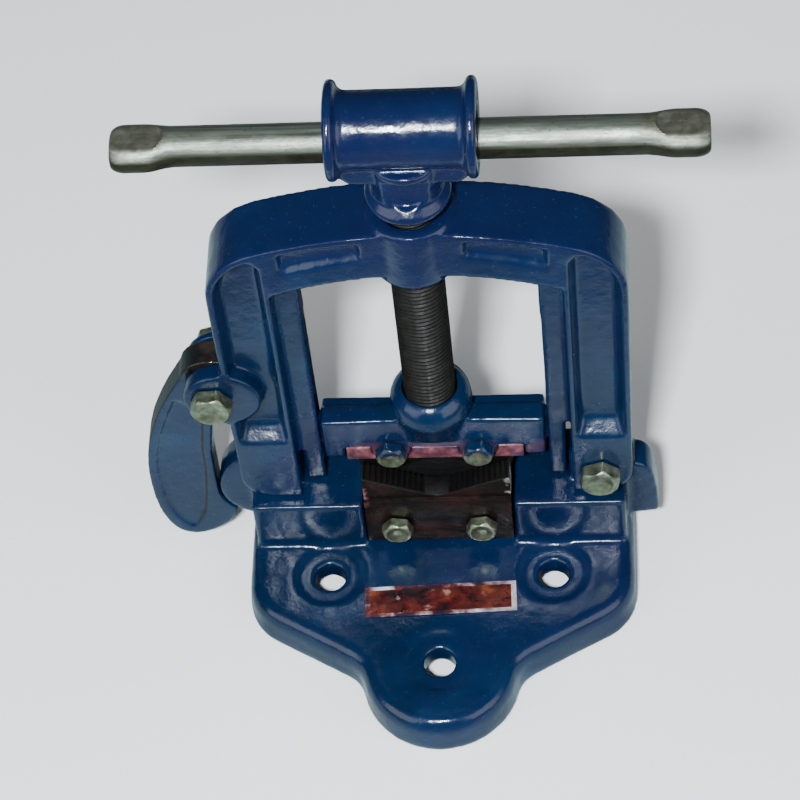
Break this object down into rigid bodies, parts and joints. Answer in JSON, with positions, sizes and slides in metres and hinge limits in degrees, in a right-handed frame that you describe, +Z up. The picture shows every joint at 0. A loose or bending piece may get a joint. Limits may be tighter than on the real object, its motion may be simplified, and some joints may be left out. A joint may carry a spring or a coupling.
{
  "type": "yoke pipe vice",
  "caption": "Hinged yoke pipe vice for a bench, with serrated vee jaws, a screw with a sliding tee handle, a latch hook and a drilled cast base.",
  "frame": {"origin": "on the flat underside of the base, on the axis of the screw", "axes": "+Z up along the screw, +X towards the hinge bolt, +Y to the back along the gripped pipe"},
  "size_m": [0.1988, 0.1173, 0.2406],
  "materials": {
    "blue_enamel": "glossy enamel over rough cast iron",
    "jaw_steel": "blackened and oiled, serrated",
    "screw_steel": "dark oiled thread",
    "zinc_steel": "dull zinc plate",
    "bright_steel": "bright plated bar",
    "label_foil": "creased printed foil"
  },
  "bodies": {
    "base": {"base_casting": "blue_enamel", "label_plate": "label_foil", "lower_jaw": "jaw_steel", "lower_jaw_bolt_left": "zinc_steel", "lower_jaw_bolt_right": "zinc_steel", "lower_jaw_nut_left": "zinc_steel", "lower_jaw_nut_right": "zinc_steel", "hinge_bolt": "zinc_steel", "hinge_washer": "zinc_steel", "hinge_nut": "zinc_steel"},
    "yoke": {"yoke_frame": "blue_enamel", "hook_bolt": "zinc_steel", "hook_washer": "zinc_steel", "hook_nut": "zinc_steel"},
    "hook": {"latch_hook": "blue_enamel"},
    "carrier": {"jaw_carrier": "blue_enamel", "upper_jaw": "jaw_steel", "upper_jaw_bolt_left": "zinc_steel", "upper_jaw_bolt_right": "zinc_steel", "upper_jaw_nut_left": "zinc_steel", "upper_jaw_nut_right": "zinc_steel", "screw_keep_pin_left": "zinc_steel", "screw_keep_pin_right": "zinc_steel"},
    "screw": {"screw_spindle": "screw_steel", "crosshead": "blue_enamel", "crosshead_pin": "zinc_steel"},
    "handle": {"handle_bar": "bright_steel"}
  },
  "joints": [
    {"name": "yoke_hinge", "type": "hinge", "parent": "base", "child": "yoke", "pos_m": [0.0575, 0, 0.052], "axis": [0, 1, 0], "range_deg": [0, 84]},
    {"name": "hook_swing", "type": "hinge", "parent": "yoke", "child": "hook", "pos_m": [-0.0735, 0, 0.1004], "axis": [0, 1, 0], "range_deg": [0, 113.4]},
    {"name": "carrier_slide", "type": "slide", "parent": "yoke", "child": "carrier", "axis": [0, 0, 1], "range_m": [-0.0015, 0.052]},
    {"name": "screw_turn", "type": "hinge", "parent": "carrier", "child": "screw", "pos_m": [0, 0, 0.0754], "axis": [0, 0, 1], "range_deg": [-135, 4680]},
    {"name": "handle_slide", "type": "slide", "parent": "screw", "child": "handle", "axis": [1, 0, 0], "range_m": [-0.049, 0.043]}
  ],
  "couplings": [
    {"joint": "hook_swing", "follows": "yoke_hinge", "ratio": 1.35},
    {"joint": "carrier_slide", "follows": "screw_turn", "m_per_rad": 0.00063662}
  ]
}
